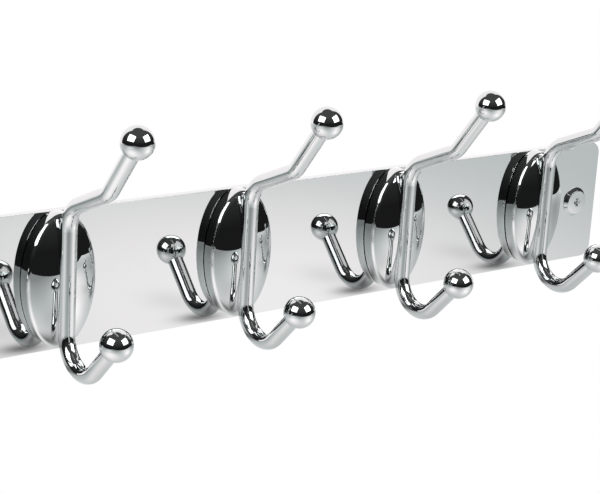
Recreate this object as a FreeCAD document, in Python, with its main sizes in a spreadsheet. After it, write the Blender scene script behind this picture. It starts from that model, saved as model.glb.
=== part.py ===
"""Wall hook rack: a flat backplate with four double hooks and two wall screws.

Frame, in millimetres: the origin is the centre of the backplate's back face, +X runs along the plate,
+Z is up and -Y points out of the wall, towards the room. Every hook is the same set of pieces, shifted
along X: an oval boss on the plate, a bent rod seated in a groove down the boss, a ball on each end of
the rod, and two countersunk screws that hold the boss from behind.
"""
import FreeCAD, Part
import math
import os
import Sketcher
from FreeCAD import Placement, Rotation, Vector

doc = FreeCAD.newDocument("wall_hook_rack")
sheet = doc.addObject("Spreadsheet::Sheet", "Sizes")

SIZES = [
    ("plate_length", 300.0),
    ("plate_height", 50.0),
    ("plate_thick", 3.0),
    ("plate_corner", 5.0),
    ("plate_edge", 0.3),
    ("hook_pitch", 74.2),
    ("boss_width", 26.4),
    ("boss_height", 48.2),
    ("boss_rim", 5.4),
    ("boss_dome", 3.9),
    ("boss_edge", 2.0),
    ("boss_lift", 1.2),
    ("rod_radius", 2.95),
    ("stem_out", 9.1),
    ("stem_foot", -15.9),
    ("jay_radius", 11.4),
    ("jay_rise", 46.0),
    ("jay_run", 19.0),
    ("neck_height", 28.0),
    ("neck_radius", 12.0),
    ("run_rise", 24.2),
    ("run_length", 28.1),
    ("elbow_radius", 9.0),
    ("arm_rise", 51.8),
    ("arm_length", 26.0),
    ("ball_radius", 5.7),
    ("ball_bore", 2.6),
    ("boss_screw_gap", 24.0),
    ("boss_screw_radius", 2.0),
    ("boss_screw_reach", 4.0),
    ("boss_screw_head", 4.1),
    ("boss_screw_sink", 0.1),
    ("boss_screw_hole", 2.2),
    ("boss_screw_tip", 0.5),
    ("boss_screw_spare", 0.4),
    ("boss_recess_depth", 1.3),
    ("boss_recess_span", 2.0),
    ("boss_recess_slot", 0.45),
    ("wall_screw_inset", 12.0),
    ("wall_screw_radius", 2.5),
    ("wall_screw_neck", 2.7),
    ("wall_screw_hole", 2.9),
    ("wall_screw_head", 6.2),
    ("wall_screw_brim", 0.3),
    ("wall_screw_face", 5.0),
    ("wall_screw_shoulder", 1.6),
    ("wall_screw_crown", 1.75),
    ("wall_screw_plain", 12.0),
    ("wall_screw_reach", 40.0),
    ("wall_screw_point", 6.0),
    ("wall_recess_depth", 1.6),
    ("wall_recess_span", 1.9),
    ("wall_recess_slot", 0.55),
    ("thread_pitch", 2.0),
    ("thread_crest", 0.4),
    ("thread_depth", 0.6),
]
for row, (alias, value) in enumerate(SIZES, start=1):
    sheet.set(f"A{row}", alias)
    sheet.set(f"B{row}", str(value))
    sheet.setAlias(f"B{row}", alias)
doc.recompute()

HOOKS = (1, 2, 3, 4)
SUBPARTS = []

# How far a cutting shape reaches past the material, so that no faces coincide.
OVERCUT = 2.0

# Turns a piece drawn along its own Z so that Z points out of the wall and its X points up.
OUT_OF_WALL = Rotation(Vector(0, 0, 1), Vector(-1, 0, 0), Vector(0, -1, 0), "ZXY")


def size(alias):
    """The number in the sheet's cell of that alias."""
    return float(sheet.get(alias))


def bind(thing, prop, formula):
    """Tie one property to the sheet. A bare alias in braces becomes a cell reference."""
    thing.setExpression(prop, formula.replace("{", "Sizes.").replace("}", ""))


def hook_x(number):
    """Formula for a hook's place along the plate."""
    return f"{number - 2.5} * {{hook_pitch}}"


def origin_plane(body, role):
    """One of a body's own origin planes."""
    return next(item for item in body.Origin.OriginFeatures if item.Role == role)


def new_body(name):
    return doc.addObject("PartDesign::Body", name)


def plane_sketch(body, name, role):
    sketch = body.newObject("Sketcher::SketchObject", name)
    sketch.AttachmentSupport = [(origin_plane(body, role), "")]
    sketch.MapMode = "FlatFace"
    return sketch


def named(sketch, name, constraint, formula):
    """Add a constraint, name it and tie it to the sheet."""
    index = sketch.addConstraint(constraint)
    sketch.renameConstraint(index, name)
    bind(sketch, f"Constraints.{name}", formula)
    return index


def keep(thing, node):
    """Give a finished sub-part its label and list it for export."""
    thing.Label = node
    SUBPARTS.append((node, thing))
    return thing


def circle(sketch, name, x, y, radius, x_formula, y_formula, radius_formula):
    """A circle whose centre and radius are tied to the sheet. A zero coordinate is held on the axis."""
    index = sketch.addGeometry(Part.Circle(Vector(x, y, 0), Vector(0, 0, 1), radius))
    named(sketch, f"{name}_radius", Sketcher.Constraint("Radius", index, radius), radius_formula)
    if x_formula:
        named(sketch, f"{name}_x", Sketcher.Constraint("DistanceX", -1, 1, index, 3, x), x_formula)
    else:
        sketch.addConstraint(Sketcher.Constraint("PointOnObject", index, 3, -2))
    if y_formula:
        named(sketch, f"{name}_y", Sketcher.Constraint("DistanceY", -1, 1, index, 3, y), y_formula)
    else:
        sketch.addConstraint(Sketcher.Constraint("PointOnObject", index, 3, -1))
    return index


def closed_outline(sketch, points):
    """Straight lines through the points and back to the first, joined end to end."""
    count = len(points)
    for index in range(count):
        start = Vector(*points[index], 0)
        end = Vector(*points[(index + 1) % count], 0)
        sketch.addGeometry(Part.LineSegment(start, end))
    for index in range(count):
        sketch.addConstraint(Sketcher.Constraint("Coincident", index, 2, (index + 1) % count, 1))


def cut_by(body, feature):
    """Recompute and make sure that the feature took material away from its body."""
    before = body.Shape.Volume
    doc.recompute()
    if feature.Shape.Volume > before - 0.01:
        raise RuntimeError(f"{feature.Name} cuts nothing")
    body.Tip = feature


def edges_where(shape, test):
    return [f"Edge{number}" for number, edge in enumerate(shape.Edges, start=1) if test(edge)]


# ---------------------------------------------------------------- backplate


def boss_screw_height(side):
    """Formula for the height of a boss screw, side +1 for the upper one and -1 for the lower one."""
    return f"{{boss_lift}} + {side * 0.5} * {{boss_screw_gap}}"


def make_backplate():
    """Rounded plate with two wall-screw holes and two holes, countersunk behind, for each boss."""
    body = new_body("Backplate")
    half_length = size("plate_length") / 2
    half_height = size("plate_height") / 2

    outline = plane_sketch(body, "PlateOutline", "XZ_Plane")
    closed_outline(outline, [
        (-half_length, -half_height),
        (half_length, -half_height),
        (half_length, half_height),
        (-half_length, half_height),
    ])
    for index, direction in enumerate(("Horizontal", "Vertical", "Horizontal", "Vertical")):
        outline.addConstraint(Sketcher.Constraint(direction, index))
    outline.addConstraint(Sketcher.Constraint("Symmetric", 0, 1, 2, 1, -1, 1))
    named(outline, "long", Sketcher.Constraint("Distance", 0, 2 * half_length), "{plate_length}")
    named(outline, "high", Sketcher.Constraint("Distance", 1, 2 * half_height), "{plate_height}")
    slab = body.newObject("PartDesign::Pad", "PlateSlab")
    slab.Profile = outline
    bind(slab, "Length", "{plate_thick}")
    doc.recompute()

    corners = body.newObject("PartDesign::Fillet", "PlateCorners")
    across = edges_where(slab.Shape, lambda edge: abs(edge.tangentAt(edge.FirstParameter).y) > 0.99)
    corners.Base = (slab, across)
    bind(corners, "Radius", "{plate_corner}")
    doc.recompute()

    rim = body.newObject("PartDesign::Fillet", "PlateFrontEdge")
    front = edges_where(corners.Shape, lambda edge: edge.BoundBox.YMax < 0.001 - size("plate_thick"))
    rim.Base = (corners, front)
    bind(rim, "Radius", "{plate_edge}")
    doc.recompute()

    holes = plane_sketch(body, "PlateHoles", "XZ_Plane")
    wall_x = half_length - size("wall_screw_inset")
    for side, name in ((-1, "left"), (1, "right")):
        circle(holes, f"wall_{name}", side * wall_x, 0.0, size("wall_screw_hole"),
               f"{side} * (0.5 * {{plate_length}} - {{wall_screw_inset}})", "", "{wall_screw_hole}")
    for number in HOOKS:
        for side, name in ((1, "upper"), (-1, "lower")):
            circle(holes, f"boss_{number}_{name}",
                   (number - 2.5) * size("hook_pitch"),
                   size("boss_lift") + side * size("boss_screw_gap") / 2,
                   size("boss_screw_hole"),
                   hook_x(number), boss_screw_height(side), "{boss_screw_hole}")
    drilled = body.newObject("PartDesign::Pocket", "PlateDrilled")
    drilled.Profile = holes
    drilled.Type = 1
    drilled.Reversed = True
    cut_by(body, drilled)

    sunk = body.newObject("PartDesign::Chamfer", "PlateCountersinks")
    back_holes = edges_where(
        drilled.Shape,
        lambda edge: isinstance(edge.Curve, Part.Circle)
        and abs(edge.Curve.Radius - size("boss_screw_hole")) < 0.001
        and abs(edge.BoundBox.YMax) < 0.001 and abs(edge.BoundBox.YMin) < 0.001)
    sunk.Base = (drilled, back_holes)
    bind(sunk, "Size", "{boss_screw_head} + {boss_screw_sink} - {boss_screw_hole}")
    cut_by(body, sunk)
    return keep(body, "backplate")


# ---------------------------------------------------------------- bosses

# Radius of the sphere that rises by the dome's height over the blank's width.
DOME_RADIUS = "(({boss_width} / 2) ^ 2 + {boss_dome} ^ 2) / (2 * {boss_dome})"


def make_boss(number):
    """Oval boss: straight rim, domed face, a groove down it for the rod and two tapped holes.

    A round blank is turned first, with its dome and eased edge, and then stretched to the oval.
    """
    tag = f"Boss{number}"
    block = doc.addObject("Part::Cylinder", f"{tag}Block")
    bind(block, "Radius", "0.5 * {boss_width}")
    bind(block, "Height", "{boss_rim} + {boss_dome}")
    dome = doc.addObject("Part::Sphere", f"{tag}Dome")
    bind(dome, "Radius", DOME_RADIUS)
    bind(dome, "Placement.Base.z", f"{{boss_rim}} + {{boss_dome}} - {DOME_RADIUS}")
    domed = doc.addObject("Part::Common", f"{tag}Domed")
    domed.Base = block
    domed.Tool = dome
    doc.recompute()

    eased = doc.addObject("Part::Fillet", f"{tag}Eased")
    eased.Base = domed
    radius = size("boss_edge")
    eased.Edges = [
        (index, radius, radius)
        for index, edge in enumerate(domed.Shape.Edges, start=1)
        if abs(edge.BoundBox.ZMin - size("boss_rim")) < 0.01 and edge.BoundBox.ZLength < 0.01
    ]
    doc.recompute()

    stretch = FreeCAD.Matrix()
    stretch.scale(size("boss_height") / size("boss_width"), 1, 1)
    blank = doc.addObject("Part::Feature", f"{tag}Blank")
    blank.Shape = eased.Shape.transformGeometry(stretch)

    groove = doc.addObject("Part::Cylinder", f"{tag}Groove")
    bind(groove, "Radius", "{rod_radius}")
    bind(groove, "Height", f"{{boss_height}} + 2 * {OVERCUT}")
    groove.Placement = Placement(Vector(0, 0, 0), Rotation(Vector(0, 1, 0), 90))
    bind(groove, "Placement.Base.x", f"-0.5 * {{boss_height}} - {OVERCUT}")
    bind(groove, "Placement.Base.z", "{stem_out}")
    cutters = [groove]
    for side in (1, -1):
        hole = doc.addObject("Part::Cylinder", f"{tag}Hole{'Upper' if side > 0 else 'Lower'}")
        bind(hole, "Radius", "{boss_screw_radius}")
        bind(hole, "Height", "{boss_screw_reach} + {boss_screw_spare}")
        bind(hole, "Placement.Base.x", f"{side * 0.5} * {{boss_screw_gap}}")
        cutters.append(hole)
    tools = doc.addObject("Part::MultiFuse", f"{tag}Cutters")
    tools.Shapes = cutters
    boss = doc.addObject("Part::Cut", f"{tag}")
    boss.Base = blank
    boss.Tool = tools
    boss.Placement = Placement(Vector(0, 0, 0), OUT_OF_WALL)
    bind(boss, "Placement.Base.x", hook_x(number))
    bind(boss, "Placement.Base.y", "-{plate_thick}")
    bind(boss, "Placement.Base.z", "{boss_lift}")
    return keep(boss, f"boss_{number}")


# ---------------------------------------------------------------- rods


def rod_points():
    """The rod's route in its own plane, as (towards the room, up), from its lower end to its upper end.

    It runs straight out of the lower ball, round the J, up the boss, over the neck, out along the run,
    round the elbow and straight into the upper ball.
    """
    radius = size("jay_radius")
    rise = math.radians(size("jay_rise"))
    centre = (size("stem_out") + radius, size("stem_foot"))
    jay_start = (centre[0] + radius * math.sin(rise), centre[1] - radius * math.cos(rise))
    jay_end = (size("stem_out"), size("stem_foot"))
    length = size("jay_run")
    lower_ball = (jay_start[0] + length * math.cos(rise), jay_start[1] + length * math.sin(rise))

    run = math.radians(size("run_rise"))
    arm = math.radians(size("arm_rise"))
    neck = (size("stem_out"), size("neck_height"))
    length = size("run_length")
    elbow = (neck[0] + length * math.cos(run), neck[1] + length * math.sin(run))
    length = size("arm_length")
    upper_ball = (elbow[0] + length * math.cos(arm), elbow[1] + length * math.sin(arm))
    return {
        "lower_ball": lower_ball,
        "jay_start": jay_start,
        "jay_centre": centre,
        "jay_end": jay_end,
        "neck": neck,
        "elbow": elbow,
        "upper_ball": upper_ball,
    }


def towards(start, end, distance):
    """The point that far from start on the way to end."""
    whole = math.dist(start, end)
    return tuple(a + (b - a) * distance / whole for a, b in zip(start, end))


def bend_tangents(before, corner, after, radius):
    """Where an arc of that radius leaves and rejoins the two straight lines that meet at a corner."""
    turn = abs(math.atan2(after[1] - corner[1], after[0] - corner[0])
               - math.atan2(corner[1] - before[1], corner[0] - before[0]))
    setback = radius * math.tan(turn / 2)
    return towards(corner, before, setback), towards(corner, after, setback)


def flat(point):
    """A route point in a sketch on the YZ plane, where the room lies towards -Y."""
    return Vector(-size("plate_thick") - point[0], point[1], 0)


def arc_between(start, centre, end):
    """The minor arc from start to end, as sketch geometry."""
    a = flat(start) - flat(centre)
    b = flat(end) - flat(centre)
    middle = (a + b).normalize() * a.Length
    return Part.Arc(flat(start), flat(centre) + middle, flat(end)), a.cross(b).z > 0


def bend_centre(start, corner, end):
    """The centre of the arc that touches both lines at start and end."""
    half = math.dist(start, end) / 2
    side = math.dist(start, corner)
    middle = tuple((a + b) / 2 for a, b in zip(start, end))
    drop = math.sqrt(side ** 2 - half ** 2)
    return towards(corner, middle, drop + half ** 2 / drop)


# How far each bend starts before its corner.
NECK_SETBACK = "{neck_radius} * tan((90 - {run_rise}) * 0.5 deg)"
ELBOW_SETBACK = "{elbow_radius} * tan(({arm_rise} - {run_rise}) * 0.5 deg)"


def make_rod(number):
    """Round rod swept along its route of straight runs and tangent arcs."""
    body = new_body(f"Rod{number}")
    points = rod_points()
    bore_floor = size("ball_bore")
    lower_end = towards(points["lower_ball"], points["jay_start"], bore_floor)
    upper_end = towards(points["upper_ball"], points["elbow"], bore_floor)
    neck_in, neck_out = bend_tangents(
        points["jay_end"], points["neck"], points["elbow"], size("neck_radius"))
    elbow_in, elbow_out = bend_tangents(
        points["neck"], points["elbow"], points["upper_ball"], size("elbow_radius"))

    path = plane_sketch(body, f"Rod{number}Path", "YZ_Plane")
    stretches = [
        ("line", lower_end, points["jay_start"]),
        ("arc", points["jay_start"], points["jay_centre"], points["jay_end"]),
        ("line", points["jay_end"], neck_in),
        ("arc", neck_in, bend_centre(neck_in, points["neck"], neck_out), neck_out),
        ("line", neck_out, elbow_in),
        ("arc", elbow_in, bend_centre(elbow_in, points["elbow"], elbow_out), elbow_out),
        ("line", elbow_out, upper_end),
    ]
    ends = []
    for kind, *where in stretches:
        if kind == "line":
            path.addGeometry(Part.LineSegment(flat(where[0]), flat(where[1])))
            ends.append((1, 2))
        else:
            arc, forward = arc_between(*where)
            path.addGeometry(arc)
            ends.append((1, 2) if forward else (2, 1))
    for index in range(len(stretches) - 1):
        joint = (index, ends[index][1], index + 1, ends[index + 1][0])
        path.addConstraint(Sketcher.Constraint("Tangent", *joint))
    jay_line, jay_arc, stem, neck_arc, run, elbow_arc, arm = range(7)
    path.addConstraint(Sketcher.Constraint("Vertical", stem))
    stem_depth = size("plate_thick") + size("stem_out")
    named(path, "stem_y", Sketcher.Constraint("DistanceX", stem, 1, -1, 1, stem_depth),
          "{plate_thick} + {stem_out}")
    named(path, "foot_z",
          Sketcher.Constraint("DistanceY", -1, 1, stem, 1, size("stem_foot")), "{stem_foot}")
    for name, index in (("jay_radius", jay_arc), ("neck_radius", neck_arc), ("elbow_radius", elbow_arc)):
        named(path, name, Sketcher.Constraint("Radius", index, size(name)), f"{{{name}}}")
    for name, index, formula in (
        ("jay_run", jay_line, "{jay_run} - {ball_bore}"),
        ("run_length", run, f"{{run_length}} - {NECK_SETBACK} - {ELBOW_SETBACK}"),
        ("arm_length", arm, f"{{arm_length}} - {ELBOW_SETBACK} - {{ball_bore}}"),
    ):
        kind, start, end = stretches[index]
        named(path, name, Sketcher.Constraint("Distance", index, math.dist(start, end)), formula)
    for name, index, turn, formula in (
        ("jay_rise", jay_line, -size("jay_rise"), "-{jay_rise} * 1 deg"),
        ("run_rise", run, 180 - size("run_rise"), "(180 - {run_rise}) * 1 deg"),
        ("arm_rise", arm, 180 - size("arm_rise"), "(180 - {arm_rise}) * 1 deg"),
    ):
        named(path, name, Sketcher.Constraint("Angle", index, math.radians(turn)), formula)
    named(path, "neck_z", Sketcher.Constraint("DistanceY", -1, 1, stem, 2, neck_in[1]),
          f"{{neck_height}} - {NECK_SETBACK}")
    doc.recompute()

    section = body.newObject("Sketcher::SketchObject", f"Rod{number}Section")
    section.AttachmentSupport = [(path, "Edge1")]
    section.MapMode = "NormalToEdge"
    section.MapPathParameter = 0.0
    circle(section, "rod", 0.0, 0.0, size("rod_radius"), "", "", "{rod_radius}")
    doc.recompute()

    pipe = body.newObject("PartDesign::AdditivePipe", f"Rod{number}Sweep")
    pipe.Profile = section
    pipe.Spine = (path, [f"Edge{index + 1}" for index in range(len(stretches))])
    pipe.Mode = "Standard"
    doc.recompute()
    body.Tip = pipe
    bind(body, "Placement.Base.x", hook_x(number))
    doc.recompute()
    return keep(body, f"hook_rod_{number}")


# ---------------------------------------------------------------- balls

LOWER_BALL = (
    "-({plate_thick} + {stem_out} + {jay_radius} * (1 + sin({jay_rise} * 1 deg))"
    " + {jay_run} * cos({jay_rise} * 1 deg))",
    "{stem_foot} - {jay_radius} * cos({jay_rise} * 1 deg) + {jay_run} * sin({jay_rise} * 1 deg)",
)
UPPER_BALL = (
    "-({plate_thick} + {stem_out} + {run_length} * cos({run_rise} * 1 deg)"
    " + {arm_length} * cos({arm_rise} * 1 deg))",
    "{neck_height} + {run_length} * sin({run_rise} * 1 deg) + {arm_length} * sin({arm_rise} * 1 deg)",
)


def make_ball(number, name, centre, rise):
    """Ball with a blind bore that takes the rod's end. The bore opens down the rod."""
    tag = f"{name.title()}Ball{number}"
    sphere = doc.addObject("Part::Sphere", f"{tag}Sphere")
    bind(sphere, "Radius", "{ball_radius}")
    bore = doc.addObject("Part::Cylinder", f"{tag}Bore")
    bind(bore, "Radius", "{rod_radius}")
    bind(bore, "Height", "{ball_radius}")
    bind(bore, "Placement.Base.z", "{ball_bore}")
    ball = doc.addObject("Part::Cut", tag)
    ball.Base = sphere
    ball.Tool = bore
    ball.Placement = Placement(Vector(0, 0, 0), Rotation(Vector(1, 0, 0), -90 - size(rise)))
    bind(ball, "Placement.Base.x", hook_x(number))
    bind(ball, "Placement.Base.y", centre[0])
    bind(ball, "Placement.Base.z", centre[1])
    return keep(ball, f"{name}_ball_{number}")


# ---------------------------------------------------------------- screws


def cross_recess(body, name, kind, depth_formula, facing_room):
    """Cut a cross recess straight into a screw head, from the plane that depth_formula gives."""
    half_span = size(f"{kind}_recess_span")
    half_slot = size(f"{kind}_recess_slot")
    sketch = plane_sketch(body, f"{name}Outline", "XZ_Plane")
    bind(sketch, "AttachmentOffset.Base.z", depth_formula)
    closed_outline(sketch, [
        (-half_slot, -half_span), (half_slot, -half_span), (half_slot, -half_slot),
        (half_span, -half_slot), (half_span, half_slot), (half_slot, half_slot),
        (half_slot, half_span), (-half_slot, half_span), (-half_slot, half_slot),
        (-half_span, half_slot), (-half_span, -half_slot), (-half_slot, -half_slot),
    ])
    pocket = body.newObject("PartDesign::Pocket", name)
    pocket.Profile = sketch
    bind(pocket, "Length", f"{{{kind}_recess_depth}}")
    pocket.Reversed = not facing_room
    cut_by(body, pocket)


def revolve_outline(body, name, corners, crown=None):
    """Revolve a closed outline about the Y axis, with every corner tied to the sheet.

    A corner is (radius, radius formula, depth, depth formula), where a radius formula of None holds it
    on the axis. With crown, the outline's first side is an arc through that point, not a straight line.
    """
    sketch = plane_sketch(body, f"{name}Outline", "XY_Plane")
    places = [Vector(corner[0], corner[2], 0) for corner in corners]
    count = len(places)
    for index in range(count):
        start, end = places[index], places[(index + 1) % count]
        if index == 0 and crown:
            sketch.addGeometry(Part.Arc(start, Vector(*crown, 0), end))
        else:
            sketch.addGeometry(Part.LineSegment(start, end))
    # An arc in a sketch always runs anticlockwise, so its ends may be swapped.
    first_start = 1 if sketch.getPoint(0, 1).distanceToPoint(places[0]) < 0.001 else 2
    for index, (radius, radius_formula, depth, depth_formula) in enumerate(corners):
        start = first_start if index == 0 else 1
        before = (index - 1) % count
        before_end = 3 - first_start if before == 0 else 2
        sketch.addConstraint(Sketcher.Constraint("Coincident", before, before_end, index, start))
        if radius_formula:
            named(sketch, f"radius_{index}",
                  Sketcher.Constraint("DistanceX", -1, 1, index, start, radius), radius_formula)
        else:
            sketch.addConstraint(Sketcher.Constraint("PointOnObject", index, start, -2))
        named(sketch, f"depth_{index}",
              Sketcher.Constraint("DistanceY", -1, 1, index, start, depth), depth_formula)
    if crown:
        # The crown is square to the axis at its top, so its centre is on the axis.
        sketch.addConstraint(Sketcher.Constraint("PointOnObject", 0, 3, -2))
    solid = body.newObject("PartDesign::Revolution", name)
    solid.Profile = sketch
    solid.ReferenceAxis = (sketch, ["V_Axis"])
    solid.Angle = 360
    doc.recompute()
    body.Tip = solid


def make_boss_screw(number, side):
    """Countersunk machine screw, head in the plate's back and shank in the boss."""
    name = "upper" if side > 0 else "lower"
    body = new_body(f"BossScrew{number}{name.title()}")
    thick = size("plate_thick")
    sink = size("boss_screw_sink")
    radius = size("boss_screw_radius")
    head = size("boss_screw_head")
    reach = size("boss_screw_reach")
    tip = size("boss_screw_tip")
    revolve_outline(body, f"{body.Name}Turned", [
        (0, None, -sink, "-{boss_screw_sink}"),
        (head, "{boss_screw_head}", -sink, "-{boss_screw_sink}"),
        (radius, "{boss_screw_radius}", radius - head - sink,
         "{boss_screw_radius} - {boss_screw_head} - {boss_screw_sink}"),
        (radius, "{boss_screw_radius}", tip - thick - reach,
         "{boss_screw_tip} - {plate_thick} - {boss_screw_reach}"),
        (radius - tip, "{boss_screw_radius} - {boss_screw_tip}", -thick - reach,
         "-{plate_thick} - {boss_screw_reach}"),
        (0, None, -thick - reach, "-{plate_thick} - {boss_screw_reach}"),
    ])
    cross_recess(body, f"{body.Name}Recess", "boss", "{boss_screw_sink}", facing_room=False)
    bind(body, "Placement.Base.x", hook_x(number))
    bind(body, "Placement.Base.z", boss_screw_height(side))
    return keep(body, f"boss_screw_{number}_{name}")


def make_wall_screw(side):
    """Wood screw through the plate, with a low sloped head, a plain neck, a ribbed thread and a point.

    The head slopes from a thin brim up to a nearly flat face. The neck is a little thicker inside the
    plate than behind it.
    """
    name = "left" if side < 0 else "right"
    body = new_body(f"WallScrew{name.title()}")
    thick = size("plate_thick")
    head = size("wall_screw_head")
    brim = size("wall_screw_brim")
    face = size("wall_screw_face")
    shoulder = size("wall_screw_shoulder")
    crown = size("wall_screw_crown")
    neck = size("wall_screw_neck")
    radius = size("wall_screw_radius")
    reach = size("wall_screw_reach")
    point = size("wall_screw_point")

    dome_radius = (face ** 2 + (crown - shoulder) ** 2) / (2 * (crown - shoulder))
    half_face = face / 2
    dome_drop = dome_radius - math.sqrt(dome_radius ** 2 - half_face ** 2)
    revolve_outline(body, f"{body.Name}Turned", [
        (0, None, -thick - crown, "-{plate_thick} - {wall_screw_crown}"),
        (face, "{wall_screw_face}", -thick - shoulder, "-{plate_thick} - {wall_screw_shoulder}"),
        (head, "{wall_screw_head}", -thick - brim, "-{plate_thick} - {wall_screw_brim}"),
        (head, "{wall_screw_head}", -thick, "-{plate_thick}"),
        (neck, "{wall_screw_neck}", -thick, "-{plate_thick}"),
        (neck, "{wall_screw_neck}", 0, "0"),
        (radius, "{wall_screw_radius}", 0, "0"),
        (radius, "{wall_screw_radius}", reach - point, "{wall_screw_reach} - {wall_screw_point}"),
        (0, None, reach, "{wall_screw_reach}"),
    ], crown=(half_face, dome_drop - thick - crown))

    plain = size("wall_screw_plain")
    pitch = size("thread_pitch")
    flank = (pitch - size("thread_crest")) / 2
    depth = size("thread_depth")
    notch = plane_sketch(body, f"{body.Name}NotchOutline", "XY_Plane")
    closed_outline(notch, [
        (radius + depth, plain - flank),
        (radius + depth, plain + 3 * flank),
        (radius - depth, plain + flank),
    ])
    groove = body.newObject("PartDesign::Groove", f"{body.Name}Notch")
    groove.Profile = notch
    groove.ReferenceAxis = (notch, ["V_Axis"])
    groove.Angle = 360
    cut_by(body, groove)
    thread = body.newObject("PartDesign::LinearPattern", f"{body.Name}Thread")
    thread.Originals = [groove]
    thread.Direction = (notch, ["V_Axis"])
    turns = int((reach - point - plain) / pitch)
    thread.Length = pitch * (turns - 1)
    thread.Occurrences = turns
    cut_by(body, thread)

    cross_recess(body, f"{body.Name}Recess", "wall",
                 "{plate_thick} + {wall_screw_crown}", facing_room=True)
    bind(body, "Placement.Base.x", f"{side} * (0.5 * {{plate_length}} - {{wall_screw_inset}})")
    return keep(body, f"wall_screw_{name}")


# ---------------------------------------------------------------- the whole rack


def check_and_export():
    """Stop on any failed object or broken shape, then write one STEP file for each sub-part."""
    doc.recompute()
    for thing in doc.Objects:
        if "Invalid" in thing.State or "Error" in thing.State:
            raise RuntimeError(f"{thing.Name} failed: {thing.State}")
    for node, thing in SUBPARTS:
        if thing.Shape.isNull() or not thing.Shape.isValid() or not thing.Shape.Solids:
            raise RuntimeError(f"{node} has no valid solid")
    os.makedirs("parts", exist_ok=True)
    for node, thing in SUBPARTS:
        thing.Shape.exportStep(f"parts/{node}.step")
        print(node, "volume", round(thing.Shape.Volume, 1), thing.Shape.BoundBox)


make_backplate()
for number in HOOKS:
    make_boss(number)
    make_rod(number)
    make_ball(number, "upper", UPPER_BALL, "arm_rise")
    make_ball(number, "lower", LOWER_BALL, "jay_rise")
    make_boss_screw(number, 1)
    make_boss_screw(number, -1)
make_wall_screw(-1)
make_wall_screw(1)
check_and_export()
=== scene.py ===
"""Chrome wall hook rack in a plain studio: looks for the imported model, in metres, in the model's frame.

The origin is the centre of the backplate's back face, +X runs along the plate, +Z is up and -Y points
towards the room. "Out" below is the distance in front of the plate's front face.
"""
import math

import bpy
from mathutils import Matrix, Vector
from mathutils.geometry import tessellate_polygon


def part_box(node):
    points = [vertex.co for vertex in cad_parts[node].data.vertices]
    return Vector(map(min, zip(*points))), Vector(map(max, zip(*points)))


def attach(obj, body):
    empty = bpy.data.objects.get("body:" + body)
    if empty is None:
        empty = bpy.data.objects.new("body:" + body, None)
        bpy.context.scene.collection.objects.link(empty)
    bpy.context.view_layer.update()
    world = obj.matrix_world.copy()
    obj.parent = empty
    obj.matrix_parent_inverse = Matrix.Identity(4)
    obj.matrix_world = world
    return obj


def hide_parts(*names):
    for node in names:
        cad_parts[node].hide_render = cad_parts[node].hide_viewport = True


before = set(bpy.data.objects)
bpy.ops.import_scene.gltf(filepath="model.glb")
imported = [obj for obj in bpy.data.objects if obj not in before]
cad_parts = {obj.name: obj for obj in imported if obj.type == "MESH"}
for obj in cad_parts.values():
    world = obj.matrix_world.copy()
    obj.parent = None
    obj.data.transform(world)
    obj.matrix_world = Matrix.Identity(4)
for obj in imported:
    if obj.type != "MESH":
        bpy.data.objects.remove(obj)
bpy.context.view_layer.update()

MM = 0.001
WELD = 1e-7
ROOT = "root"
HOOKS = (1, 2, 3, 4)

# ---------------------------------------------------------------- sizes

PLATE_LOW, PLATE_HIGH = (Vector(corner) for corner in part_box("backplate"))
PLATE_FRONT = PLATE_LOW.y
PLATE_CORNER = 5 * MM
PLATE_EDGE = 0.15 * MM
PLATE_BACK_EDGE = 0.15 * MM
PLATE_CORNER_STEPS = 16
PLATE_EDGE_STEPS = 10
PLATE_BACK_EDGE_STEPS = 4
HOLE_STEPS = 48

BOSS_HALF_WIDTH = 13.2 * MM
BOSS_HALF_HEIGHT = 24.1 * MM
BOSS_RIM = 5.4 * MM
BOSS_DOME = 3.9 * MM
BOSS_EDGE = 2.0 * MM
BOSS_GAP = 0.35 * MM
BOSS_GAP_DEPTH = 0.8 * MM
BOSS_GAP_EASE = 0.12 * MM
BOSS_LIFT = 1.2 * MM
BOSS_STEPS = 192
BOSS_GAP_STEPS = 4
BOSS_EDGE_STEPS = 14
BOSS_DOME_STEPS = 36
BOSS_DOME_FIRST = 0.004
BOSS_SHARP = math.radians(28)
BOSS_GROOVE_LENGTH = 2.4 * BOSS_HALF_HEIGHT
BOSS_SCREW_RISE = 12 * MM
BOSS_SCREW_BORE = 2.2 * MM
BOSS_SCREW_SINK = 4.2 * MM
BOSS_TAP_RADIUS = 2.0 * MM
BOSS_TAP_DEPTH = 4.4 * MM
CUT_PAST = 1 * MM

ROD_RADIUS = 2.95 * MM
ROD_STEPS = 72
ROD_GAP = 0.03 * MM
STEM_OUT = 9.1 * MM
STEM_FOOT = -15.9 * MM
JAY_RADIUS = 11.4 * MM
JAY_RISE = math.radians(46)
JAY_RUN = 19 * MM
JAY_CENTRE = Vector((STEM_OUT + JAY_RADIUS, STEM_FOOT))
NECK = Vector((STEM_OUT, 28 * MM))
NECK_RADIUS = 12 * MM
RUN_RISE = math.radians(24.2)
RUN_LENGTH = 28.1 * MM
ELBOW_RADIUS = 9 * MM
ARM_RISE = math.radians(51.8)
ARM_LENGTH = 26 * MM
BEND_STEP = math.radians(2.5)

BALL_RADIUS = 5.7 * MM
BALL_BORE = 2.6 * MM
BALL_LIP = 0.14 * MM
BALL_STEPS = 96
BALL_RISE_STEPS = 56
BALL_LIP_STEPS = 8

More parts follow.
